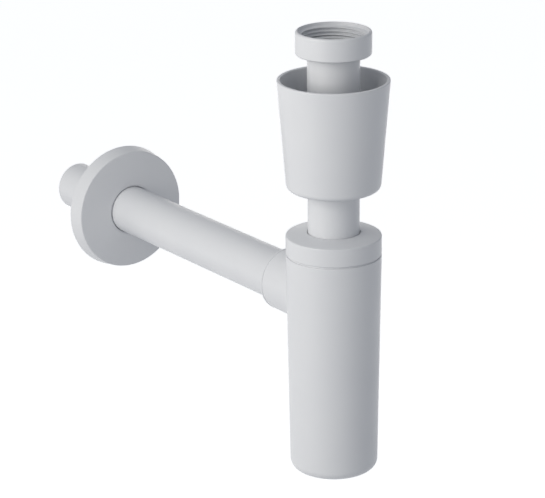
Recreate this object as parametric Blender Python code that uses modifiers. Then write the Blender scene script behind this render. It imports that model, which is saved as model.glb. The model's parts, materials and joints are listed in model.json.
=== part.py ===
"""Dip tube basin trap for a washbasin, in white polypropylene.

A union nut hangs the trap on the threaded waste of a basin. The dip tube runs
down through a tapered cover into the bottle, where it ends under the water
line. The bottle is clamped on the tube by a compression joint, and its outlet
pipe leaves through a push-in socket to the wall, behind a rosette.

Frame: metres, +Z up, +Y towards the wall. The origin lies on the tube's axis,
at the top face of the gasket that seals against the waste.
"""

import math

import bpy
from mathutils import Matrix, Vector

# Fits
SEAT_GAP = 0.0003
GUIDE_GAP = 0.0004
SEAL_GAP = 0.00025
MOULD_EDGE = 0.0004

# Dip tube and outlet pipe
TUBE_DIAMETER = 0.032
TUBE_WALL = 0.0018
TUBE_END_EDGE = 0.0005
COLLAR_DIAMETER = 0.038
COLLAR_THICKNESS = 0.002
WATER_SEAL = 0.065
PIPE_LENGTH = 0.262
PIPE_LEAD_IN = 0.0009

# Joint with the waste
GASKET_THICKNESS = 0.0018
GASKET_BORE = 0.0296
UNION_DIAMETER = 0.0464
UNION_THREAD_BORE = 0.039
UNION_THREAD_DEPTH = 0.0082
UNION_WEB = 0.0018
UNION_EDGE = 0.0011

# Tapered cover
COVER_SETBACK = 0.0157
COVER_HEIGHT = 0.069
COVER_MOUTH_DIAMETER = 0.0692
COVER_BASE_DIAMETER = 0.058
COVER_WALL = 0.0022
COVER_RIM_EDGE = 0.0007
COVER_BASE_ROUND = 0.0036
COVER_FLOOR_FILLET = 0.0011
GRIP_SLEEVE_HEIGHT = 0.007
GRIP_SLEEVE_WALL = 0.0016
GRIP_SLOT_WIDTH = 0.0016

# Compression joint of the bottle
BOTTLE_DROP = 0.1206
BOTTLE_DIAMETER = 0.0594
CLAMP_HEIGHT = 0.0116
CLAMP_CROWN = 0.002
CLAMP_WEB = 0.002
CLAMP_SKIRT = 0.0026
CLAMP_EDGE = 0.0009
SEAM_GROOVE = 0.001
SLIP_RING_THICKNESS = 0.0016
TUBE_SEAL_WIDTH = 0.0046
TUBE_SEAL_HEIGHT = 0.0054
TUBE_SEAL_BAND = 0.002
TUBE_SEAL_TOE = 0.0014
TUBE_SEAL_SET = 0.0006
LEDGE_THICKNESS = 0.0026

# Bottle
BOTTLE_LENGTH = 0.142
BOTTLE_BASE_DIAMETER = 0.0549
BOTTLE_WALL = 0.0024
BOTTLE_FLOOR = 0.0028
BOTTLE_BASE_ROUND = 0.0058
SHOULDER_WALL = 0.0033

# Outlet socket and its seal
OUTLET_DROP = 0.0303
SOCKET_DIAMETER = 0.0404
SOCKET_REACH = 0.0493
SOCKET_STOP = 0.0297
SOCKET_EDGE = 0.001
SOCKET_CHAMFER = 0.0005
SOCKET_LIP = 0.003
OUTLET_SEAL_WIDTH = 0.0024
OUTLET_SEAL_LENGTH = 0.0048
OUTLET_SEAL_LIP = 0.0008
OUTLET_SEAL_HEEL = 0.0016
PIPE_PLAY = 0.0048

# Wall rosette
WALL_DISTANCE = 0.2391
ROSETTE_DEPTH = 0.0109
ROSETTE_FRONT_DIAMETER = 0.0815
ROSETTE_BACK_DIAMETER = 0.0847
ROSETTE_CROWN = 0.0017
ROSETTE_WALL = 0.0018
ROSETTE_EDGE = 0.0008

# Facets
ROUND_STEPS = 64
TUBE_STEPS = 48
FILLET_STEPS = 2
MERGE_DISTANCE = 0.00001

# Radii that follow
TUBE_RADIUS = TUBE_DIAMETER / 2
BORE_RADIUS = TUBE_RADIUS - TUBE_WALL
COLLAR_RADIUS = COLLAR_DIAMETER / 2
GUIDE_RADIUS = TUBE_RADIUS + GUIDE_GAP
SLEEVE_RADIUS = GUIDE_RADIUS + GRIP_SLEEVE_WALL
SEAL_RADIUS = TUBE_RADIUS + SEAL_GAP
BOTTLE_RADIUS = BOTTLE_DIAMETER / 2
BOTTLE_BASE_RADIUS = BOTTLE_BASE_DIAMETER / 2
SEAL_RIM_RADIUS = SEAL_RADIUS + TUBE_SEAL_WIDTH
POCKET_RADIUS = SEAL_RIM_RADIUS + SEAT_GAP
CLAMP_BORE_RADIUS = BOTTLE_RADIUS - CLAMP_SKIRT
NECK_RADIUS = CLAMP_BORE_RADIUS - GUIDE_GAP
SOCKET_RADIUS = SOCKET_DIAMETER / 2

# Levels that follow, from the waste down
COLLAR_TOP = -GASKET_THICKNESS - SEAT_GAP
COLLAR_BASE = COLLAR_TOP - COLLAR_THICKNESS
UNION_WEB_TOP = COLLAR_BASE - SEAT_GAP
UNION_BASE = UNION_WEB_TOP - UNION_WEB
COVER_RIM = UNION_BASE - COVER_SETBACK
COVER_BASE = COVER_RIM - COVER_HEIGHT
CLAMP_RIM = -BOTTLE_DROP
CLAMP_BASE = CLAMP_RIM - CLAMP_HEIGHT
CLAMP_WEB_BASE = CLAMP_RIM - CLAMP_WEB
SLIP_RING_TOP = CLAMP_WEB_BASE - SEAT_GAP
SLIP_RING_BASE = SLIP_RING_TOP - SLIP_RING_THICKNESS
TUBE_SEAL_TOP = SLIP_RING_BASE - SEAT_GAP
TUBE_SEAL_BASE = TUBE_SEAL_TOP - TUBE_SEAL_HEIGHT
NECK_TOP = TUBE_SEAL_TOP + TUBE_SEAL_SET
POCKET_BASE = TUBE_SEAL_BASE - SEAT_GAP
LEDGE_BASE = POCKET_BASE - LEDGE_THICKNESS
SHOULDER = CLAMP_BASE - SEAM_GROOVE
BOTTLE_BASE = SHOULDER - BOTTLE_LENGTH
OUTLET_LEVEL = SHOULDER - OUTLET_DROP
TUBE_END = OUTLET_LEVEL - BORE_RADIUS - WATER_SEAL

# Distances that follow, from the bottle's axis towards the wall
PIPE_START = SOCKET_STOP + PIPE_PLAY
OUTLET_SEAL_END = SOCKET_REACH - SOCKET_LIP - SEAT_GAP
OUTLET_SEAL_START = OUTLET_SEAL_END - OUTLET_SEAL_LENGTH
ROSETTE_FRONT = WALL_DISTANCE - ROSETTE_DEPTH

UPRIGHT = (0, 0, 0)
TOWARDS_WALL = (-math.pi / 2, 0, 0)


def material(name, colour, roughness):
    """A plain plastic or rubber."""
    made = bpy.data.materials.new(name)
    made.use_nodes = True
    shader = made.node_tree.nodes["Principled BSDF"]
    shader.inputs["Base Color"].default_value = (*colour, 1)
    shader.inputs["Roughness"].default_value = roughness
    shader.inputs["Metallic"].default_value = 0
    return made


def rounded(corners):
    """Points of an outline whose corners are (radius, height) or (radius, height, fillet)."""
    points = []
    for index, corner in enumerate(corners):
        here = Vector(corner[:2])
        fillet = corner[2] if len(corner) == 3 else 0
        if not fillet:
            points.append(here)
            continue
        back = (Vector(corners[index - 1][:2]) - here).normalized()
        ahead = (Vector(corners[(index + 1) % len(corners)][:2]) - here).normalized()
        half = back.angle(ahead) / 2
        centre = here + (back + ahead).normalized() * fillet / math.sin(half)
        start = here + back * fillet / math.tan(half) - centre
        sweep = math.copysign(math.pi - 2 * half, -back.cross(ahead))
        for step in range(FILLET_STEPS + 1):
            points.append(centre + Matrix.Rotation(sweep * step / FILLET_STEPS, 2) @ start)
    return points


def turned(name, corners, ring=True, steps=ROUND_STEPS):
    """A turned solid: a closed ring section, or a section that starts and ends on the axis."""
    points = rounded(corners)
    edges = [(i, i + 1) for i in range(len(points) - 1)]
    if ring:
        edges.append((len(points) - 1, 0))
    mesh = bpy.data.meshes.new(name)
    mesh.from_pydata([(p.x, 0, p.y) for p in points], edges, [])
    piece = bpy.data.objects.new(name, mesh)
    screw = piece.modifiers.new("Turn", "SCREW")
    screw.angle = math.tau
    screw.steps = steps
    screw.render_steps = steps
    screw.use_merge_vertices = True
    screw.merge_threshold = MERGE_DISTANCE
    screw.use_smooth_shade = False
    return piece


def place(piece, location, paint, rotation=UPRIGHT):
    """Puts a finished piece of the trap in its collection, with its material."""
    piece.location = location
    piece.rotation_euler = rotation
    piece.data.materials.append(paint)
    trap.objects.link(piece)


def cutter(piece, location, rotation=UPRIGHT):
    """Puts a helper shape away from the render."""
    piece.location = location
    piece.rotation_euler = rotation
    piece.hide_render = True
    piece.display_type = "WIRE"
    forms.objects.link(piece)
    return piece


def combine(piece, tool, operation):
    """Adds a boolean of the piece with a helper shape."""
    boolean = piece.modifiers.new(tool.name, "BOOLEAN")
    boolean.operation = operation
    boolean.object = tool
    boolean.solver = "EXACT"


def slot_blade(name, width, span, height, turn):
    """A thin upright block, centred on its foot and turned about its height."""
    bpy.ops.mesh.primitive_cube_add(size=1)
    blade = bpy.context.object
    blade.name = name
    lift = Matrix.Translation((0, 0, height / 2))
    stretch = Matrix.Diagonal((width, span, height, 1))
    blade.data.transform(Matrix.Rotation(turn, 4, "Z") @ lift @ stretch)
    for home in list(blade.users_collection):
        home.objects.unlink(blade)
    return blade


def split_sleeve(piece, location, rotation, height):
    """Cuts a grip sleeve into four spring fingers."""
    span = 2 * (SLEEVE_RADIUS + GRIP_SLOT_WIDTH)
    for across, turn in (("x", 0), ("y", math.pi / 2)):
        name = f"{piece.name}_slot_{across}"
        blade = slot_blade(name, GRIP_SLOT_WIDTH, span, height, turn)
        combine(piece, cutter(blade, location, rotation), "DIFFERENCE")


def build_union_nut(paint):
    """The smooth ring nut for the thread of the waste."""
    outer = UNION_DIAMETER / 2
    bore = UNION_THREAD_BORE / 2
    top = UNION_THREAD_DEPTH - UNION_BASE
    nut = turned("union_nut", [
        (outer, top, UNION_EDGE),
        (outer, 0, UNION_EDGE),
        (GUIDE_RADIUS, 0),
        (GUIDE_RADIUS, UNION_WEB),
        (bore, UNION_WEB),
        (bore, top - UNION_EDGE),
        (bore + UNION_EDGE, top),
    ])
    place(nut, (0, 0, UNION_BASE), paint)


def build_inlet_gasket(paint):
    """The flat gasket between the collar and the waste."""
    bore = GASKET_BORE / 2
    gasket = turned("inlet_gasket", [
        (COLLAR_RADIUS, GASKET_THICKNESS),
        (COLLAR_RADIUS, 0),
        (bore, 0),
        (bore, GASKET_THICKNESS),
    ], steps=TUBE_STEPS)
    place(gasket, (0, 0, -GASKET_THICKNESS), paint)


def build_dip_tube(paint):
    """The tube, with the collar that the union nut lifts against the gasket."""
    length = COLLAR_TOP - TUBE_END
    tube = turned("dip_tube", [
        (COLLAR_RADIUS, 0, MOULD_EDGE),
        (COLLAR_RADIUS, -COLLAR_THICKNESS, MOULD_EDGE),
        (TUBE_RADIUS, -COLLAR_THICKNESS),
        (TUBE_RADIUS, -length, TUBE_END_EDGE),
        (BORE_RADIUS, -length),
        (BORE_RADIUS, 0),
    ], steps=TUBE_STEPS)
    place(tube, (0, 0, COLLAR_TOP), paint)


def build_tube_cover(paint):
    """The tapered cup that slides up the tube to hide the waste."""
    mouth = COVER_MOUTH_DIAMETER / 2
    base = COVER_BASE_DIAMETER / 2
    floor = base - COVER_WALL + (mouth - base) * COVER_WALL / COVER_HEIGHT
    sleeve_top = COVER_WALL + GRIP_SLEEVE_HEIGHT
    cover = turned("tube_cover", [
        (mouth, COVER_HEIGHT, COVER_RIM_EDGE),
        (base, 0, COVER_BASE_ROUND),
        (GUIDE_RADIUS, 0),
        (GUIDE_RADIUS, sleeve_top),
        (SLEEVE_RADIUS, sleeve_top),
        (SLEEVE_RADIUS, COVER_WALL),
        (floor, COVER_WALL, COVER_FLOOR_FILLET),
        (mouth - COVER_WALL, COVER_HEIGHT, COVER_RIM_EDGE),
    ])
    place(cover, (0, 0, COVER_BASE), paint)
    split_sleeve(cover, (0, 0, COVER_BASE + COVER_WALL), UPRIGHT, 2 * GRIP_SLEEVE_HEIGHT)


def build_clamp_nut(paint):
    """The cap nut of the bottle, flush with it and slightly crowned."""
    nut = turned("clamp_nut", [
        (GUIDE_RADIUS + MOULD_EDGE, CLAMP_CROWN),
        (BOTTLE_RADIUS, 0, CLAMP_EDGE),
        (BOTTLE_RADIUS, -CLAMP_HEIGHT),
        (CLAMP_BORE_RADIUS, -CLAMP_HEIGHT),
        (CLAMP_BORE_RADIUS, -CLAMP_WEB),
        (GUIDE_RADIUS, -CLAMP_WEB),
        (GUIDE_RADIUS, CLAMP_CROWN - MOULD_EDGE),
    ])
    place(nut, (0, 0, CLAMP_RIM), paint)


def build_slip_ring(paint):
    """The hard ring that lets the nut turn without dragging the seal."""
    ring = turned("slip_ring", [
        (SEAL_RIM_RADIUS, SLIP_RING_THICKNESS),
        (SEAL_RIM_RADIUS, 0),
        (GUIDE_RADIUS, 0),
        (GUIDE_RADIUS, SLIP_RING_THICKNESS),
    ], steps=TUBE_STEPS)
    place(ring, (0, 0, SLIP_RING_BASE), paint)


def build_tube_seal(paint):
    """The rubber wedge that is squeezed between the tube and the bottle's neck."""
    seal = turned("tube_seal", [
        (SEAL_RIM_RADIUS, TUBE_SEAL_HEIGHT),
        (SEAL_RIM_RADIUS, TUBE_SEAL_HEIGHT - TUBE_SEAL_BAND),
        (SEAL_RADIUS + TUBE_SEAL_TOE, 0),
        (SEAL_RADIUS, 0),
        (SEAL_RADIUS, TUBE_SEAL_HEIGHT),
    ], steps=TUBE_STEPS)
    place(seal, (0, 0, TUBE_SEAL_BASE), paint)


def bottle_radius(level):
    """Outer radius of the tapered bottle at a level."""
    share = (SHOULDER - level) / BOTTLE_LENGTH
    return BOTTLE_RADIUS + (BOTTLE_BASE_RADIUS - BOTTLE_RADIUS) * share


def build_trap_body(paint):
    """The bottle: a tapered cup with a neck for the clamp nut and a socket at the back."""
    body = turned("trap_body", [
        (0, NECK_TOP - SHOULDER),
        (NECK_RADIUS, NECK_TOP - SHOULDER, MOULD_EDGE),
        (NECK_RADIUS, 0),
        (BOTTLE_RADIUS, 0, MOULD_EDGE),
        (BOTTLE_BASE_RADIUS, -BOTTLE_LENGTH, BOTTLE_BASE_ROUND),
        (0, -BOTTLE_LENGTH),
    ], ring=False)
    place(body, (0, 0, SHOULDER), paint)

    socket = turned("socket_form", [
        (0, SOCKET_REACH),
        (SOCKET_RADIUS, SOCKET_REACH, SOCKET_EDGE),
        (SOCKET_RADIUS, 0),
        (0, 0),
    ], ring=False)
    combine(body, cutter(socket, (0, 0, OUTLET_LEVEL), TOWARDS_WALL), "UNION")

    floor = BOTTLE_BASE + BOTTLE_FLOOR
    roof = SHOULDER - SHOULDER_WALL
    chamber = turned("chamber_form", [
        (0, NECK_TOP + SEAM_GROOVE),
        (POCKET_RADIUS, NECK_TOP + SEAM_GROOVE),
        (POCKET_RADIUS, TUBE_SEAL_TOP - TUBE_SEAL_BAND - SEAT_GAP),
        (SEAL_RADIUS + TUBE_SEAL_TOE + SEAT_GAP, POCKET_BASE),
        (GUIDE_RADIUS, POCKET_BASE),
        (GUIDE_RADIUS, LEDGE_BASE),
        (bottle_radius(roof) - BOTTLE_WALL, roof, BOTTLE_WALL),
        (bottle_radius(floor) - BOTTLE_WALL, floor, BOTTLE_BASE_ROUND),
        (0, floor),
    ], ring=False)
    combine(body, cutter(chamber, (0, 0, 0)), "DIFFERENCE")

    groove = SEAL_RADIUS + OUTLET_SEAL_WIDTH + SEAT_GAP
    mouth = GUIDE_RADIUS + SOCKET_CHAMFER
    bore = turned("socket_bore_form", [
        (0, SOCKET_REACH + SOCKET_LIP),
        (mouth + SOCKET_CHAMFER + SOCKET_LIP, SOCKET_REACH + SOCKET_LIP),
        (mouth, SOCKET_REACH - SOCKET_CHAMFER),
        (mouth, OUTLET_SEAL_END + SEAT_GAP),
        (groove, OUTLET_SEAL_END + SEAT_GAP),
        (groove, OUTLET_SEAL_START - SEAT_GAP),
        (GUIDE_RADIUS, OUTLET_SEAL_START - SEAT_GAP),
        (GUIDE_RADIUS, SOCKET_STOP),
        (BORE_RADIUS, SOCKET_STOP),
        (BORE_RADIUS, 0),
        (0, 0),
    ], ring=False, steps=TUBE_STEPS)
    combine(body, cutter(bore, (0, 0, OUTLET_LEVEL), TOWARDS_WALL), "DIFFERENCE")


def build_outlet_seal(paint):
    """The rubber ring that is held in the socket's groove round the pipe."""
    rim = SEAL_RADIUS + OUTLET_SEAL_WIDTH
    seal = turned("outlet_seal", [
        (rim, OUTLET_SEAL_LENGTH),
        (rim, 0),
        (SEAL_RADIUS, 0),
        (SEAL_RADIUS, OUTLET_SEAL_HEEL),
        (SEAL_RADIUS + OUTLET_SEAL_LIP, OUTLET_SEAL_LENGTH),
    ], steps=TUBE_STEPS)
    place(seal, (0, OUTLET_SEAL_START, OUTLET_LEVEL), paint, TOWARDS_WALL)


def build_outlet_pipe(paint):
    """The straight pipe from the socket into the wall."""
    pipe = turned("outlet_pipe", [
        (TUBE_RADIUS, PIPE_LENGTH),
        (TUBE_RADIUS, 0, PIPE_LEAD_IN),
        (BORE_RADIUS, 0),
        (BORE_RADIUS, PIPE_LENGTH),
    ], steps=TUBE_STEPS)
    place(pipe, (0, PIPE_START, OUTLET_LEVEL), paint, TOWARDS_WALL)


def build_wall_rosette(paint):
    """The shallow dish that covers the hole in the wall."""
    front = ROSETTE_FRONT_DIAMETER / 2
    back = ROSETTE_BACK_DIAMETER / 2
    sleeve_end = ROSETTE_DEPTH - ROSETTE_EDGE
    dish = turned("wall_rosette", [
        (GUIDE_RADIUS, -ROSETTE_CROWN),
        (GUIDE_RADIUS, sleeve_end),
        (SLEEVE_RADIUS, sleeve_end),
        (SLEEVE_RADIUS, ROSETTE_WALL - ROSETTE_CROWN),
        (front - ROSETTE_WALL, ROSETTE_WALL, ROSETTE_EDGE),
        (back - ROSETTE_WALL, ROSETTE_DEPTH),
        (back, ROSETTE_DEPTH),
        (front, 0, ROSETTE_EDGE),
    ])
    place(dish, (0, ROSETTE_FRONT, OUTLET_LEVEL), paint, TOWARDS_WALL)
    slot_start = ROSETTE_FRONT + 2 * ROSETTE_WALL
    split_sleeve(dish, (0, slot_start, OUTLET_LEVEL), TOWARDS_WALL, 2 * ROSETTE_DEPTH)


for leftover in list(bpy.data.objects):
    bpy.data.objects.remove(leftover, do_unlink=True)

trap = bpy.data.collections.new("basin_trap")
forms = bpy.data.collections.new("forms")
bpy.context.scene.collection.children.link(trap)
bpy.context.scene.collection.children.link(forms)

white_pp = material("white_polypropylene", (0.80, 0.81, 0.82), 0.38)
natural_pp = material("natural_polypropylene", (0.72, 0.72, 0.69), 0.45)
light_rubber = material("light_rubber", (0.70, 0.71, 0.71), 0.7)
black_rubber = material("black_rubber", (0.03, 0.03, 0.03), 0.6)

build_union_nut(white_pp)
build_inlet_gasket(light_rubber)
build_dip_tube(white_pp)
build_tube_cover(white_pp)
build_clamp_nut(white_pp)
build_slip_ring(natural_pp)
build_tube_seal(black_rubber)
build_trap_body(white_pp)
build_outlet_seal(black_rubber)
build_outlet_pipe(white_pp)
build_wall_rosette(white_pp)
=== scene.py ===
import json
import math

import bmesh
import bpy
import numpy as np
from mathutils import Matrix, Vector


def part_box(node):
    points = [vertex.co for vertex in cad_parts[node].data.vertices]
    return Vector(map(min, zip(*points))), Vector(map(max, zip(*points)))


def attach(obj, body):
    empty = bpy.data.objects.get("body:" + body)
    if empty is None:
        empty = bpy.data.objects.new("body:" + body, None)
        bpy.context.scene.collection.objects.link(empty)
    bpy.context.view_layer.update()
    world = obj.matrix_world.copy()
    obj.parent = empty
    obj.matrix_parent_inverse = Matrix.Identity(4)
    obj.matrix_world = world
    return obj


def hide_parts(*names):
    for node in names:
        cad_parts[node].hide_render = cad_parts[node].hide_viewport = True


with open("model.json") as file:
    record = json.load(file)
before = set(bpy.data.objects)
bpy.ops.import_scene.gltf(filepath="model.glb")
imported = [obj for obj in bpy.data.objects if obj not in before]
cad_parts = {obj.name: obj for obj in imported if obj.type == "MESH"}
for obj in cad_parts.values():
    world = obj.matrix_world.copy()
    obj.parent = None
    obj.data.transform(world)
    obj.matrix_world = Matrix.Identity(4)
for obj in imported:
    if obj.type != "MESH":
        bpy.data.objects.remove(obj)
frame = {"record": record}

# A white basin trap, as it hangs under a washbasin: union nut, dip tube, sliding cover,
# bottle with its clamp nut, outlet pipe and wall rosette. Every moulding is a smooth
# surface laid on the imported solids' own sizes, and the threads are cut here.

MM = 0.001
# Columns of points in a full turn, and their angles
ROUND = 192
AROUND = np.arange(ROUND) * math.tau / ROUND
WELD_DISTANCE = 3e-7
CRISP_ANGLE = math.radians(38)

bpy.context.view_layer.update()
mounts = frame["record"]["mounts"]
outlet_level = next(m["pos_m"][2] for m in mounts if m["name"] == "wall_face")


# Sections and surfaces

def outline(corners, closed=False, steps=7):
    """Points of a section through an axis, as rows of radius and height.

    Each corner is a radius, a height and the radius of its rounding. The rounding is the
    arc that touches both straight runs; its centre lies on the line that halves the
    corner. A point a hair before and after each arc keeps the shading of the runs flat.
    """
    points = []
    count = len(corners)
    for index, corner in enumerate(corners):
        here = np.array(corner[:2], float)
        rounding = corner[2] if len(corner) == 3 else 0
        if not rounding or (not closed and index in (0, count - 1)):
            points.append(here[None])
            continue
        back = np.array(corners[index - 1][:2]) - here
        ahead = np.array(corners[(index + 1) % count][:2]) - here
        back /= np.linalg.norm(back)
        ahead /= np.linalg.norm(ahead)
        half = math.acos(np.clip(back @ ahead, -1, 1)) / 2
        middle = back + ahead
        centre = here + middle / np.linalg.norm(middle) * rounding / math.sin(half)
        start = here + back * rounding / math.tan(half)
        end = here + ahead * rounding / math.tan(half)
        spoke, last = start - centre, end - centre
        sweep = math.atan2(spoke[0] * last[1] - spoke[1] * last[0], spoke @ last)
        turn = np.linspace(0, sweep, steps)
        arc = np.stack([
            spoke[0] * np.cos(turn) - spoke[1] * np.sin(turn),
            spoke[0] * np.sin(turn) + spoke[1] * np.cos(turn),
        ], axis=-1) + centre
        hair = min(0.15 * rounding, 0.05 * MM)
        points += [start[None] + back * hair, arc, end[None] + ahead * hair]
    return np.concatenate(points)


def column(radius, low, high, rows):
    """Evenly spaced points of a section along a wall of one radius."""
    return np.stack([np.full(rows, radius), np.linspace(low, high, rows)], axis=-1)


def lathe(section, angles=AROUND, swell=0, along="z"):
    """A grid of points: each row of the section carried round its axis.

    Across is radius times the cosine of the angle and up is radius times its sine, with
    the height along the axis. The axis is the dip tube's, or the outlet pipe's, which
    runs towards the wall. The swell is added to the radius, point by point.
    """
    radius = section[:, :1] + swell
    across = radius * np.cos(angles)
    up = radius * np.sin(angles)
    height = np.broadcast_to(section[:, 1:2], across.shape)
    if along == "z":
        return np.stack([across, up, height], axis=-1)
    return np.stack([across, height, up + outlet_level], axis=-1)


def cells(rows, columns, start=0, ring=False, gaps=()):
    """Four-sided faces between neighbouring rows and columns of a grid of points.

    The last column joins the first. In a ring the last row joins the first too. Each gap
    is a window of rows and columns that stays open.
    """
    index = start + np.arange(rows * columns).reshape(rows, columns)
    index = np.hstack([index, index[:, :1]])
    if ring:
        index = np.vstack([index, index[:1]])
    faces = np.stack([index[:-1, :-1], index[:-1, 1:], index[1:, 1:], index[1:, :-1]], axis=-1)
    keep = np.ones(faces.shape[:2], bool)
    for low, high, left, right in gaps:
        keep[low:high, left:right] = False
    return faces[keep]


def welded_mesh(name, points, faces):
    """A mesh in which points that fall together are one, with its faces outwards.

    Points that no face uses are left out.
    """
    used, corners = np.unique(faces, return_inverse=True)
    mesh = bpy.data.meshes.new(name)
    mesh.from_pydata(points[used], [], corners.reshape(faces.shape).tolist())
    shell = bmesh.new()
    shell.from_mesh(mesh)
    bmesh.ops.remove_doubles(shell, verts=shell.verts, dist=WELD_DISTANCE)
    bmesh.ops.recalc_face_normals(shell, faces=shell.faces)
    shell.to_mesh(mesh)
    shell.free()
    return mesh


def placed(name, data):
    """A new object with its data, linked to the scene."""
    thing = bpy.data.objects.new(name, data)
    bpy.context.scene.collection.objects.link(thing)
    return thing


def moulding(name, sheets, body, node, slot):
    """One closed piece from its grids, in the place of a CAD node.

    A sheet is a grid of points and the settings of its cells. Points that fall together,
    at an axis or along a shared edge, become one, which closes the piece. Edges sharper
    than the crisp angle stay crisp.
    """
    points, faces, count = [], [], 0
    for grid, settings in sheets:
        rows, columns = grid.shape[:2]
        faces.append(cells(rows, columns, count, **settings))
        points.append(grid.reshape(-1, 3))
        count += rows * columns
    mesh = welded_mesh(name, np.concatenate(points), np.concatenate(faces))
    mesh.shade_smooth()
    mesh.set_sharp_from_angle(angle=CRISP_ANGLE)
    mesh.materials.append(paints[slot])
    piece = placed(name, mesh)
    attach(piece, body)
    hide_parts(node)


# Threads

def ramp(value, start, end):
    """Rises smoothly from 0 at the start to 1 at the end, with a flat slope at both."""
    share = np.clip((value - start) / (end - start), 0, 1)
    return share * share * (3 - 2 * share)


def band(value, low, low_full, high_full, high):
    """Rises from 0 to 1 between the two low levels and falls back between the high ones."""
    return ramp(value, low, low_full) * ramp(-value, -high, -high_full)


def picked(section, start, stop):
    """A column that is 1 for the section's rows from start to stop and 0 elsewhere."""
    rows = np.arange(len(section))
    return ((rows >= start) & (rows < stop))[:, None]


def thread(height, angles, lead, first, slope, bias=0.0):
    """How far a right-hand thread stands up, from 0 at its root to 1 at its crest.

    A triangle wave runs up the axis and shifts by one lead for each turn. The slope makes
    its flanks steep, the bias makes its crests narrow, and a soft limit rounds crest and
    root: x over the eighth root of one plus x to the eighth.
    """
    phase = (height - first) / lead - angles / math.tau
    wave = 1 - 4 * np.abs(phase - np.floor(phase) - 0.5)
    steep = slope * (wave - bias)
    return 0.5 + 0.5 * steep / (1 + np.abs(steep) ** 8) ** 0.125


# Materials

def linear(code):
    """The linear colour of an sRGB hex value."""
    value = np.array([int(code[i:i + 2], 16) / 255 for i in (1, 3, 5)])
    bent = np.where(value <= 0.04045, value / 12.92, ((value + 0.055) / 1.055) ** 2.4)
    return (*bent.tolist(), 1.0)


def node(tree, kind, links=None, **settings):
    """Adds a shader node, with its settings, its socket values and its links."""
    made = tree.nodes.new(kind)
    for key, value in settings.items():
        setattr(made, key, value)
    for key, value in (links or {}).items():
        if isinstance(value, bpy.types.NodeSocket):
            tree.links.new(value, made.inputs[key])
        else:
            made.inputs[key].default_value = value
    return made


def finish(name, main, shade, gloss, ior, clouds, grain, depth, specular=0.5):
    """A moulded finish.

    Two close tones in slow clouds, a roughness that drifts between two values, and a
    grain with a slower waviness under it as bump. The clouds, the grain and the waves
    are sizes in metres, and a noise texture's scale is one over the size of its spots.
    """
    waves = 14 * MM
    wave_height, grain_height = 0.04 * MM, 0.01 * MM
    paint = bpy.data.materials.new(name)
    paint.use_nodes = True
    tree = paint.node_tree
    shader = tree.nodes["Principled BSDF"]
    shader.inputs["IOR"].default_value = ior
    shader.inputs["Metallic"].default_value = 0.0
    shader.inputs["Specular IOR Level"].default_value = specular
    place = node(tree, "ShaderNodeTexCoord").outputs["Object"]
    cloud = node(tree, "ShaderNodeTexNoise", {
        "Vector": place, "Scale": 1 / clouds, "Detail": 3.0, "Roughness": 0.5})
    # Sockets 6 and 7 are the two colours of a colour mix, and output 2 is its result.
    tone = node(tree, "ShaderNodeMix", {
        0: cloud.outputs["Fac"], 6: linear(main), 7: linear(shade)}, data_type="RGBA")
    tree.links.new(tone.outputs[2], shader.inputs["Base Color"])
    drift = node(tree, "ShaderNodeMapRange", {
        "Value": cloud.outputs["Fac"], "From Min": 0.3, "From Max": 0.7,
        "To Min": gloss[0], "To Max": gloss[1]})
    tree.links.new(drift.outputs["Result"], shader.inputs["Roughness"])
    spots = node(tree, "ShaderNodeTexNoise", {
        "Vector": place, "Scale": 1 / grain, "Detail": 2.0, "Roughness": 0.6})
    swells = node(tree, "ShaderNodeTexNoise", {
        "Vector": place, "Scale": 1 / waves, "Detail": 1.0, "Roughness": 0.4})
    slow = node(tree, "ShaderNodeBump", {
        "Height": swells.outputs["Fac"], "Strength": 0.12, "Distance": wave_height})
    fine = node(tree, "ShaderNodeBump", {
        "Height": spots.outputs["Fac"], "Strength": depth, "Distance": grain_height,
        "Normal": slow.outputs["Normal"]})
    tree.links.new(fine.outputs["Normal"], shader.inputs["Normal"])
    return paint


paints = {
    # Polypropylene, pigmented white and injection moulded in a finely eroded tool: an
    # even, slightly cool white with a soft satin sheen and no sharp reflections. The
    # tool's grain of 0.05 mm is drawn at 0.35 mm, so that it shows.
    "white_pp": finish(
        "white_moulded_polypropylene", main="#D6D8DB", shade="#D2D4D8",
        gloss=(0.36, 0.44), ior=1.49, clouds=24 * MM, grain=0.35 * MM, depth=0.25),
    # The same plastic without pigment, moulded: milky and a little warmer and duller.
    "natural_pp": finish(
        "natural_moulded_polypropylene", main="#D9D8D2", shade="#D2D1C9",
        gloss=(0.42, 0.50), ior=1.49, clouds=12 * MM, grain=0.35 * MM, depth=0.3),
    # Pale thermoplastic rubber, cut from a moulded sheet: matt, with a faint dry bloom.
    "light_rubber": finish(
        "light_moulded_rubber", main="#CBCDCF", shade="#C4C6C8",
        gloss=(0.62, 0.74), ior=1.52, clouds=9 * MM, grain=0.4 * MM, depth=0.5,
        specular=0.35),
    # EPDM rubber, compression moulded: almost black, matt, with a slightly grey bloom.
    "black_rubber": finish(
        "black_moulded_epdm_rubber", main="#262627", shade="#303132",
        gloss=(0.55, 0.68), ior=1.52, clouds=8 * MM, grain=0.4 * MM, depth=0.5,
        specular=0.4),
}


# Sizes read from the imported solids, and the few that their boxes don't give

def reach(name, axis):
    """Lowest and highest coordinate of a CAD node along one axis."""
    low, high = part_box(name)
    return low[axis], high[axis]


TUBE_WALL = 1.8 * MM
GUIDE_GAP = 0.4 * MM
SLEEVE_WALL = 1.6 * MM
SLOT_WIDTH = 1.6 * MM
CROWN_DROP = 2 * MM

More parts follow.
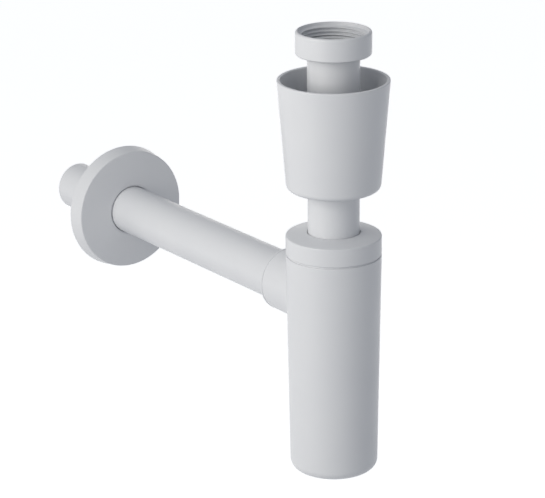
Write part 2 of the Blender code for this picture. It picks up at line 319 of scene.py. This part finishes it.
tube_r = reach("outlet_pipe", 0)[1]
bore_r = tube_r - TUBE_WALL
guide_r = tube_r + GUIDE_GAP
sleeve_r = guide_r + SLEEVE_WALL
nut_base, nut_top = reach("union_nut", 2)
nut_r = reach("union_nut", 0)[1]
gasket_base, gasket_top = reach("inlet_gasket", 2)
tube_end, collar_top = reach("dip_tube", 2)
collar_r = reach("dip_tube", 0)[1]
cover_base, cover_rim = reach("tube_cover", 2)
cover_r = reach("tube_cover", 0)[1]
clamp_base, clamp_crown = reach("clamp_nut", 2)
clamp_rim = clamp_crown - CROWN_DROP
bottle_base, neck_top = reach("trap_body", 2)
bottle_r = reach("trap_body", 0)[1]
socket_end = reach("trap_body", 1)[1]
ring_base, ring_top = reach("slip_ring", 2)
ring_r = reach("slip_ring", 0)[1]
seal_base, seal_top = reach("tube_seal", 2)
seal_start, seal_end = reach("outlet_seal", 1)
pipe_start, pipe_end = reach("outlet_pipe", 1)
rosette_crown, rosette_back = reach("wall_rosette", 1)
rosette_r = reach("wall_rosette", 0)[1]


# Joint with the waste

def make_union_nut():
    """The ring nut. Its bore carries a G 1 1/4 thread: 11 to the inch, 55 degree flanks.

    The radius of the bore is the crest's radius plus the thread's depth times one minus
    its height, and the depth fades in below the smooth mouth and out above the gasket. At
    the mouth the rim is relieved: it slopes from the bore up to a thin flat edge.
    """
    lead, depth, slope = 25.4 / 11 * MM, 1.479 * MM, 1.5
    # The level and the turn of a crest, as the photograph shows it
    first = 4.05 * MM - lead * 77 / 360
    crest = 19.5 * MM
    land = nut_base + 1.8 * MM
    mouth = nut_top - 2.6 * MM
    skin = outline([
        (crest, mouth), (crest + 1.8 * MM, mouth + 0.6 * MM, 0.7 * MM),
        (crest + 2.1 * MM, nut_top, 0.25 * MM), (nut_r, nut_top, 1.3 * MM),
        (nut_r, nut_base, 1.1 * MM), (guide_r, nut_base, 0.3 * MM),
        (guide_r, land, 0.2 * MM), (crest, land, 0.4 * MM), (crest, land + 0.9 * MM)])
    bore = column(crest, land + 0.95 * MM, mouth - 0.05 * MM, 96)
    section = np.concatenate([skin, bore])
    height = section[:, 1:2]
    cut = 1 - thread(height, AROUND, lead, first, slope)
    fade = band(height, land + 0.9 * MM, land + 2.2 * MM, mouth - 0.7 * MM, mouth)
    swell = depth * cut * fade * picked(section, len(skin), len(section))
    moulding("union_nut_thread_ring", [(lathe(section, swell=swell), {"ring": True})],
             "union_nut", "union_nut", "white_pp")


def make_inlet_gasket():
    """The flat ring between collar and waste, with sealing beads on its top.

    Three shallow grooves part the beads: cosine dips across the ring's width.
    """
    bore = 14.8 * MM
    edge = 0.35 * MM
    grooves, groove_depth = 3, 0.12 * MM
    across = np.linspace(bore + 1 * MM, collar_r - 1 * MM, 46)
    share = (across - across[0]) / (across[-1] - across[0])
    dips = groove_depth * (np.cos(share * grooves * math.tau) - 1) / 2
    top = np.stack([across, gasket_top + dips], axis=-1)
    rim = outline([
        (collar_r - 0.9 * MM, gasket_top), (collar_r, gasket_top, edge),
        (collar_r, gasket_base, edge), (bore, gasket_base, edge), (bore, gasket_top, edge),
        (bore + 0.9 * MM, gasket_top)])
    moulding("inlet_gasket_ring", [(lathe(np.concatenate([top, rim])), {"ring": True})],
             "inlet", "inlet_gasket", "light_rubber")


def make_dip_tube():
    """The tube with its collar, each edge broken as the mould leaves it."""
    collar_base = collar_top - 2 * MM
    section = outline([
        (collar_r, collar_top, 0.4 * MM), (collar_r, collar_base, 0.4 * MM),
        (tube_r, collar_base, 0.25 * MM), (tube_r, tube_end, 0.5 * MM),
        (bore_r, tube_end, 0.25 * MM), (bore_r, collar_top, 0.6 * MM)], closed=True)
    moulding("dip_tube_with_collar", [(lathe(section), {"ring": True})],
             "inlet", "dip_tube", "white_pp")


# Sliding cover

def finger_angles():
    """Angles of the columns, with a close pair at each side of the four sleeve slots.

    The second result is 1 for a column in a finger and 0 for a column in a slot. All
    angles are in radians. The shift keeps a whole slot together at the turn's start.
    """
    quarter = math.pi / 2
    half = SLOT_WIDTH / 2 / (guide_r + SLEEVE_WALL / 2)
    shift, pair_gap, clear = 0.3, 0.0006, 0.008

    def from_slot(angle):
        return np.abs((angle + shift) % quarter - shift)

    sides = np.arange(4)[:, None] * quarter + np.array([-half, half])
    pairs = (sides[..., None] + np.array([-pair_gap, pair_gap])).ravel()
    spread = AROUND[from_slot(AROUND) > half + clear]
    angles = np.sort(np.concatenate([spread, pairs % math.tau]))
    return angles, (from_slot(angles) > half).astype(float)


def make_tube_cover():
    """The tapered cup, with a grip sleeve in its floor that four slots part into fingers.

    Above the floor the sleeve's height is multiplied by 1 in a finger and by 0 in a slot.
    """
    angles, finger = finger_angles()
    base_r = 29 * MM
    wall = 2.2 * MM
    floor = cover_base + wall
    sleeve_top = floor + 7 * MM
    lean = (cover_r - base_r) / (cover_rim - cover_base)
    inner_base = base_r - wall + lean * wall
    cup = outline([
        (guide_r, floor - 0.2 * MM), (guide_r, cover_base, 0.4 * MM),
        (base_r, cover_base, 3.6 * MM), (cover_r, cover_rim, 0.7 * MM),
        (cover_r - wall, cover_rim, 0.7 * MM), (inner_base, floor, 1.1 * MM),
        (sleeve_r + 0.4 * MM, floor)])
    sleeve = outline([
        (sleeve_r, floor), (sleeve_r, sleeve_top, 0.3 * MM),
        (guide_r, sleeve_top, 0.5 * MM), (guide_r, floor)])
    grid = lathe(np.concatenate([cup, sleeve]), angles)
    rise = np.clip(grid[len(cup):, :, 2] - floor, 0, None)
    grid[len(cup):, :, 2] = floor + rise * finger
    moulding("tapered_tube_cover", [(grid, {"ring": True})],
             "tube_cover", "tube_cover", "white_pp")


# Bottle, its clamp nut and seals

NECK_LEAD = 3 * MM
NECK_SLOPE = 3.2
NECK_BIAS = 0.28
NECK_CORE = 25.9 * MM
NECK_CREST = 26.7 * MM
NUT_ROOT = 27.1 * MM
NUT_CREST = 26.3 * MM
neck_thread_start = clamp_base + 1.2 * MM


def neck_thread(height, first):
    """The thread of neck and clamp nut: steep flanks and narrow crests, 3 mm a turn."""
    return thread(height, AROUND, NECK_LEAD, first, NECK_SLOPE, NECK_BIAS)


def make_clamp_nut():
    """The cap nut, slightly crowned, with three turns of thread inside its skirt.

    The crown falls from the hole to the rim as a shallow arch: the drop grows with the
    power 1.25 of the share of the way out.
    """
    web = clamp_rim - 2 * MM
    hole = guide_r + 0.25 * MM
    crown_r = np.linspace(hole + 0.5 * MM, bottle_r - 1.0 * MM, 15)
    fall = CROWN_DROP * ((crown_r - hole) / (bottle_r - hole)) ** 1.25
    crown = np.stack([crown_r, clamp_crown - fall], axis=-1)
    skin = outline([
        tuple(crown[-1]), (bottle_r, clamp_rim, 0.9 * MM), (bottle_r, clamp_base, 0.5 * MM),
        (NUT_ROOT, clamp_base, 0.3 * MM), (NUT_ROOT, clamp_base + 0.6 * MM)])[1:]
    bore = column(NUT_ROOT, clamp_base + 0.65 * MM, web - 0.7 * MM, 110)
    roof = outline([
        (NUT_ROOT, web - 0.65 * MM), (NUT_ROOT, web, 0.4 * MM), (guide_r, web, 0.2 * MM),
        (guide_r, clamp_crown - 0.4 * MM), (hole, clamp_crown, 0.15 * MM),
        tuple(crown[0])])[:-1]
    section = np.concatenate([crown, skin, bore, roof])
    height = section[:, 1:2]
    ridge = neck_thread(height, neck_thread_start + NECK_LEAD / 2)
    fade = band(height, clamp_base + 0.7 * MM, clamp_base + 1.6 * MM,
                web - 1.7 * MM, web - 0.8 * MM)
    first = len(crown) + len(skin)
    inside = picked(section, first, first + len(bore))
    swell = (NUT_CREST - NUT_ROOT) * ridge * fade * inside
    moulding("clamp_cap_nut", [(lathe(section, swell=swell), {"ring": True})],
             "clamp_nut", "clamp_nut", "white_pp")


def make_slip_ring():
    """The hard ring under the nut, with small moulded edges."""
    edge = 0.3 * MM
    section = outline([
        (ring_r, ring_top, edge), (ring_r, ring_base, edge), (guide_r, ring_base, edge),
        (guide_r, ring_top, edge)], closed=True)
    moulding("hard_slip_ring", [(lathe(section), {"ring": True})],
             "slip_ring", "slip_ring", "natural_pp")


def make_tube_seal():
    """The wedge ring: a band above and a cone below that thins to its toe."""
    inner = tube_r + 0.25 * MM
    section = outline([
        (ring_r, seal_top, 0.4 * MM), (ring_r, seal_top - 2 * MM, 0.5 * MM),
        (inner + 1.4 * MM, seal_base, 0.4 * MM), (inner, seal_base, 0.3 * MM),
        (inner, seal_top, 0.4 * MM)], closed=True)
    moulding("wedge_tube_seal", [(lathe(section), {"ring": True})],
             "height_carriage", "tube_seal", "black_rubber")


def make_outlet_seal():
    """The socket's lip ring: a heel that fits the groove and a lip that opens outwards."""
    inner = tube_r + 0.25 * MM
    outer = reach("outlet_seal", 0)[1]
    section = outline([
        (outer, seal_end, 0.3 * MM), (outer, seal_start, 0.4 * MM),
        (inner, seal_start, 0.3 * MM), (inner, seal_start + 1.6 * MM, 0.5 * MM),
        (inner + 0.8 * MM, seal_end, 0.2 * MM)], closed=True)
    moulding("outlet_lip_seal", [(lathe(section, along="y"), {"ring": True})],
             "bottle", "outlet_seal", "black_rubber")


def window_rim(window):
    """The points round a window of a grid: along its lowest row, up, back and down."""
    return np.concatenate([
        window[0, :-1], window[:-1, -1], window[-1, :0:-1], window[:0:-1, 0]])


def branch(rim, wall_radius, radius, rounding, rows):
    """Rows of points that join a round wall to a cylinder running out towards the wall.

    Each point of the window's rim is joined to the cylinder by a ray that runs straight in
    the view along the cylinder, and lies on the wall: its depth is the root of the wall's
    radius squared less its sideways distance squared. Near the cylinder the ray leaves the
    wall on a parabola whose middle point is the sharp corner.
    """
    side, up = rim[:, 0], rim[:, 2] - outlet_level
    turn = np.unwrap(np.arctan2(up, side))

    def on_wall(across, height):
        return np.sqrt(wall_radius(height + outlet_level) ** 2 - across ** 2)

    share = np.linspace(0, 1, rows)[:, None]
    foot = radius + rounding
    across = side + share * (foot * np.cos(turn) - side)
    height = up + share * (foot * np.sin(turn) - up)
    sheet = np.stack([across, on_wall(across, height), height + outlet_level], axis=-1)
    corner_side, corner_up = radius * np.cos(turn), radius * np.sin(turn)
    corner_out = on_wall(corner_side, corner_up)
    corner = np.stack([corner_side, corner_out, corner_up + outlet_level], axis=-1)
    landing = corner + np.array([0, rounding, 0])
    step = np.linspace(0, 1, 9)[1:, None, None]
    curve = (1 - step) ** 2 * sheet[-1] + 2 * step * (1 - step) * corner + step ** 2 * landing
    return np.concatenate([sheet, curve]), turn


def make_trap_body():
    """The bottle with its threaded neck, its seat for the seal, and the outlet socket.

    One section runs from the middle of the base up the outside, over the neck and down
    the inside to the middle of the floor, carried round the axis. A low ring between the
    shoulder and the neck leaves the fine seam that shows under the clamp nut. A window in
    the outer wall and one in the inner wall are joined by the socket: rows of circles
    round the outlet's axis, whose angles drift from the outer rim's to the inner rim's. A
    shallow groove near the socket's lip is the fine line that shows there.
    """
    shoulder = clamp_base - 1.0 * MM
    ring = clamp_base - 0.2 * MM
    length = shoulder - bottle_base
    base_r = 27.45 * MM
    base_rounding = 5.8 * MM
    wall = 2.4 * MM
    floor = bottle_base + 2.8 * MM
    roof = shoulder - 3.3 * MM
    pocket_r = ring_r + 0.3 * MM
    seat = seal_base - 0.3 * MM
    # The gate mark in the middle of the base: a cut stub in a shallow dimple
    stub = bottle_base + 0.25 * MM
    dimple = bottle_base + 0.5 * MM

    def outer(level):
        return bottle_r + (base_r - bottle_r) * (shoulder - level) / length

    def inner(level):
        return outer(level) - wall

    # Half heights of the two windows, and their half widths in columns of the grid
    out_reach, in_reach = 25.4 * MM, 17.5 * MM
    out_half, in_half = 30, 21
    out_low, out_high = outlet_level - out_reach, outlet_level + out_reach
    in_low, in_high = outlet_level - in_reach, outlet_level + in_reach

    below = outline([
        (0, stub), (0.9 * MM, stub, 0.12 * MM), (1.1 * MM, dimple, 0.12 * MM),
        (2.5 * MM, dimple, 0.15 * MM), (2.9 * MM, bottle_base, 0.25 * MM),
        (base_r, bottle_base, base_rounding), (outer(out_low), out_low)], steps=13)
    out_levels = np.linspace(out_low, out_high, 41)
    outside = np.stack([outer(out_levels), out_levels], axis=-1)
    neck_foot = outline([
        (outer(out_high), out_high), (bottle_r, shoulder, 0.5 * MM),
        (bottle_r - 0.75 * MM, shoulder, 0.1 * MM), (bottle_r - 0.95 * MM, ring, 0.2 * MM),
        (NECK_CORE, ring, 0.25 * MM), (NECK_CORE, shoulder + 0.9 * MM)])
    neck = column(NECK_CORE, shoulder + 0.95 * MM, neck_top - 0.5 * MM, 96)
    within = outline([
        (NECK_CORE, neck_top - 0.45 * MM), (NECK_CORE, neck_top, 0.3 * MM),
        (pocket_r, neck_top, 0.35 * MM), (pocket_r, seal_top - 2.3 * MM, 0.3 * MM),
        (tube_r + 1.95 * MM, seat, 0.2 * MM), (guide_r, seat, 0.25 * MM),
        (guide_r, seat - 2.6 * MM, 0.3 * MM), (inner(roof), roof, 2.2 * MM),
        (inner(in_high), in_high)])
    in_levels = np.linspace(in_high, in_low, 59)
    inside = np.stack([inner(in_levels), in_levels], axis=-1)
    sump = outline([
        (inner(in_low), in_low), (inner(floor), floor, base_rounding), (0, floor)], steps=13)
    parts = [below[:-1], outside, neck_foot[1:], neck, within[:-1], inside, sump[1:]]
    section = np.concatenate(parts)
    starts = np.cumsum([0] + [len(part) for part in parts])
    height = section[:, 1:2]
    ridge = neck_thread(height, neck_thread_start)
    fade = band(height, shoulder + 1.0 * MM, shoulder + 2.0 * MM,
                neck_top - 1.4 * MM, neck_top - 0.5 * MM)
    on_neck = picked(section, starts[3], starts[4])
    grid = lathe(section, swell=(NECK_CREST - NECK_CORE) * ridge * fade * on_neck)

    quarter = ROUND // 4
    out_left, out_right = quarter - out_half, quarter + out_half
    in_left, in_right = quarter - in_half, quarter + in_half
    out_window = grid[starts[1]:starts[2], out_left:out_right + 1]
    in_window = grid[starts[5]:starts[6], in_left:in_right + 1][::-1]
    gaps = [(starts[1], starts[2] - 1, out_left, out_right),
            (starts[5], starts[6] - 1, in_left, in_right)]

    socket_r = 20.2 * MM
    outward, out_turn = branch(window_rim(out_window), outer, socket_r, 2.9 * MM, 9)
    inward, in_turn = branch(window_rim(in_window), inner, bore_r, 0.5 * MM, 7)
    mouth = guide_r + 0.5 * MM
    groove = tube_r + 2.95 * MM
    groove_start, groove_end = seal_start - 0.3 * MM, seal_end + 0.3 * MM
    stop = 29.7 * MM
    lip = socket_end + 0.5 * MM
    line_start = lip - 2.3 * MM
    line_r = socket_r - 0.3 * MM
    tube = outline([
        (socket_r, 33 * MM), (socket_r, line_start, 0.05 * MM),
        (line_r, line_start + 0.1 * MM, 0.05 * MM),
        (line_r, line_start + 0.6 * MM, 0.05 * MM),
        (socket_r, line_start + 0.7 * MM, 0.05 * MM), (socket_r, lip, 0.35 * MM),
        (mouth + 0.5 * MM, lip, 0.15 * MM), (mouth, lip - 0.5 * MM, 0.2 * MM),
        (mouth, groove_end, 0.3 * MM), (groove, groove_end, 0.2 * MM),
        (groove, groove_start, 0.2 * MM), (guide_r, groove_start, 0.3 * MM),
        (guide_r, stop, 0.2 * MM), (bore_r, stop, 0.3 * MM), (bore_r, 28.9 * MM)])
    drift = np.linspace(0, 1, len(tube))[:, None]
    angles = out_turn + drift * (in_turn - out_turn)
    circles = lathe(tube, angles, along="y")
    socket = np.concatenate([outward, circles, inward[::-1]])
    moulding("bottle_with_outlet_socket", [(grid, {"gaps": gaps}), (socket, {})],
             "bottle", "trap_body", "white_pp")


# Outlet pipe and rosette

def make_outlet_pipe():
    """The straight pipe, with a lead-in at the socket and a sawn end in the wall."""
    section = outline([
        (tube_r, pipe_end, 0.15 * MM), (tube_r, pipe_start, 0.9 * MM),
        (bore_r, pipe_start, 0.25 * MM), (bore_r, pipe_end, 0.15 * MM)], closed=True)
    moulding("straight_outlet_pipe", [(lathe(section, along="y"), {"ring": True})],
             "outlet_pipe", "outlet_pipe", "white_pp")


def make_wall_rosette():
    """The shallow dish round the pipe, arched in front, with a slotted sleeve behind.

    The front's depth behind its crown grows as the radius squared, and its hole has a
    well rounded edge close round the pipe. Behind the dish the sleeve's depth is
    multiplied by 1 in a finger and by 0 in a slot.
    """
    angles, finger = finger_angles()
    front_r = 40.75 * MM
    crown = rosette_crown
    rise = 1.7 * MM
    front = crown + rise
    wall = 1.8 * MM
    hole = tube_r + 0.15 * MM
    face_r = np.linspace(hole + 1.8 * MM, front_r - 1.2 * MM, 17)
    arch = rise * (face_r ** 2 - guide_r ** 2) / (front_r ** 2 - guide_r ** 2)
    face = np.stack([face_r, crown + arch], axis=-1)
    skirt = outline([
        tuple(face[-1]), (front_r, front, 0.9 * MM), (rosette_r, rosette_back, 0.25 * MM),
        (rosette_r - wall, rosette_back, 0.25 * MM), (front_r - wall, front + wall, 0.8 * MM),
        (sleeve_r + 0.4 * MM, crown + wall + 0.35 * MM)])[1:]
    hollow = crown + 2 * wall
    sleeve_end = rosette_back - 0.8 * MM
    sleeve = outline([
        (sleeve_r, crown + wall + 0.2 * MM), (sleeve_r, hollow),
        (sleeve_r, sleeve_end, 0.3 * MM), (guide_r, sleeve_end, 0.5 * MM),
        (guide_r, hollow), (hole, hollow - 0.8 * MM, 0.2 * MM), (hole, crown, 1.6 * MM),
        tuple(face[0])])[:-1]
    grid = lathe(np.concatenate([face, skirt, sleeve]), angles, along="y")
    behind = grid[len(face) + len(skirt):, :, 1]
    behind[:] = np.where(behind > hollow, hollow + (behind - hollow) * finger, behind)
    moulding("wall_rosette_dish", [(grid, {"ring": True})],
             "wall_rosette", "wall_rosette", "white_pp")


make_union_nut()
make_inlet_gasket()
make_dip_tube()
make_tube_cover()
make_clamp_nut()
make_slip_ring()
make_tube_seal()
make_trap_body()
make_outlet_seal()
make_outlet_pipe()
make_wall_rosette()


# Studio: a pale floor 0.85 m under the joint with the waste, a white surround, and soft
# boxes: a strong one on the left, weak ones higher, lower and further back on that side,
# and one low behind on the right, which gives the views from there some form

FLOOR_LEVEL = -0.85
FLOOR_RADIUS = 9
BOX_SIDE = 0.9
BOX_DISTANCE = 1.2
BOX_AIM = Vector((0, 0.1, -0.14))


def make_floor():
    """A flat round floor that glows a little: rings of points whose radius grows evenly."""
    rings = 10
    radii = np.linspace(0, FLOOR_RADIUS, rings)
    disc = lathe(np.stack([radii, np.full(rings, FLOOR_LEVEL)], axis=-1))
    mesh = welded_mesh("studio_floor", disc.reshape(-1, 3), cells(rings, ROUND))
    paint = bpy.data.materials.new("matt_white_paper")
    paint.use_nodes = True
    shader = paint.node_tree.nodes["Principled BSDF"]
    shader.inputs["Base Color"].default_value = linear("#E8E9EA")
    shader.inputs["Roughness"].default_value = 0.95
    shader.inputs["Specular IOR Level"].default_value = 0.1
    shader.inputs["Emission Color"].default_value = linear("#FFFFFF")
    shader.inputs["Emission Strength"].default_value = 0.64
    mesh.materials.append(paint)
    floor = placed("studio_floor", mesh)
    floor.visible_diffuse = False


def make_surround(seen, light, strength):
    """A world that looks one white and lights with another, a little softer and cooler."""
    world = bpy.data.worlds.new("white_surround")
    world.use_nodes = True
    tree = world.node_tree
    tree.nodes.clear()
    path = node(tree, "ShaderNodeLightPath")
    shown = node(tree, "ShaderNodeBackground", {"Color": linear(seen), "Strength": 1.0})
    given = node(tree, "ShaderNodeBackground", {"Color": linear(light), "Strength": strength})
    both = node(tree, "ShaderNodeMixShader", {0: path.outputs["Is Camera Ray"]})
    tree.links.new(given.outputs[0], both.inputs[1])
    tree.links.new(shown.outputs[0], both.inputs[2])
    node(tree, "ShaderNodeOutputWorld", {"Surface": both.outputs[0]})
    bpy.context.scene.world = world


def make_soft_light(name, azimuth, elevation, power):
    """A warm white square soft box that looks at the middle of the part."""
    light = bpy.data.lights.new(name, "AREA")
    light.shape = "SQUARE"
    light.size = BOX_SIDE
    light.energy = power
    light.color = linear("#FFFBF4")[:3]
    turn, lift = math.radians(azimuth), math.radians(elevation)
    level = math.cos(lift)
    way = Vector((math.sin(turn) * level, -math.cos(turn) * level, math.sin(lift)))
    facing = way.to_track_quat("Z", "Y").to_matrix().to_4x4()
    lamp = placed(name, light)
    lamp.matrix_world = Matrix.Translation(BOX_AIM + way * BOX_DISTANCE) @ facing


make_floor()
make_surround("#FEFEFE", "#F6F9FF", 0.449)
make_soft_light("left_soft_box", -80, 20, 8.45)
make_soft_light("high_left_soft_box", -95, 40, 1.25)
make_soft_light("back_left_soft_box", -150, 0, 0.9)
make_soft_light("back_right_soft_box", 138, -8, 3.6)
make_soft_light("low_left_soft_box", -100, -18, 0.7)
bpy.context.scene.view_settings.view_transform = "Standard"


# Camera, fitted to the outlines in the photograph: in front, to the left and above

def make_camera():
    """A 163 mm lens 1.5 m away, turned by azimuth, pitch and a slight roll."""
    place = (-0.883955, -1.137408, 0.371428)
    azimuth, pitch, roll = -0.634466, 0.335001, -0.009675
    data = bpy.data.cameras.new("camera")
    data.sensor_width = 36
    data.lens = 163.434
    data.clip_start, data.clip_end = 0.05, 40
    level = math.cos(pitch)
    ahead = Vector((
        -math.sin(azimuth) * level, math.cos(azimuth) * level, -math.sin(pitch)))
    right = Vector((math.cos(azimuth), math.sin(azimuth), 0))
    up = right.cross(ahead)
    tilted = right * math.cos(roll) + up * math.sin(roll)
    above = up * math.cos(roll) - right * math.sin(roll)
    camera = placed("camera", data)
    camera.matrix_world = Matrix((
        (tilted.x, above.x, -ahead.x, place[0]),
        (tilted.y, above.y, -ahead.y, place[1]),
        (tilted.z, above.z, -ahead.z, place[2]),
        (0, 0, 0, 1)))
    bpy.context.scene.camera = camera


make_camera()
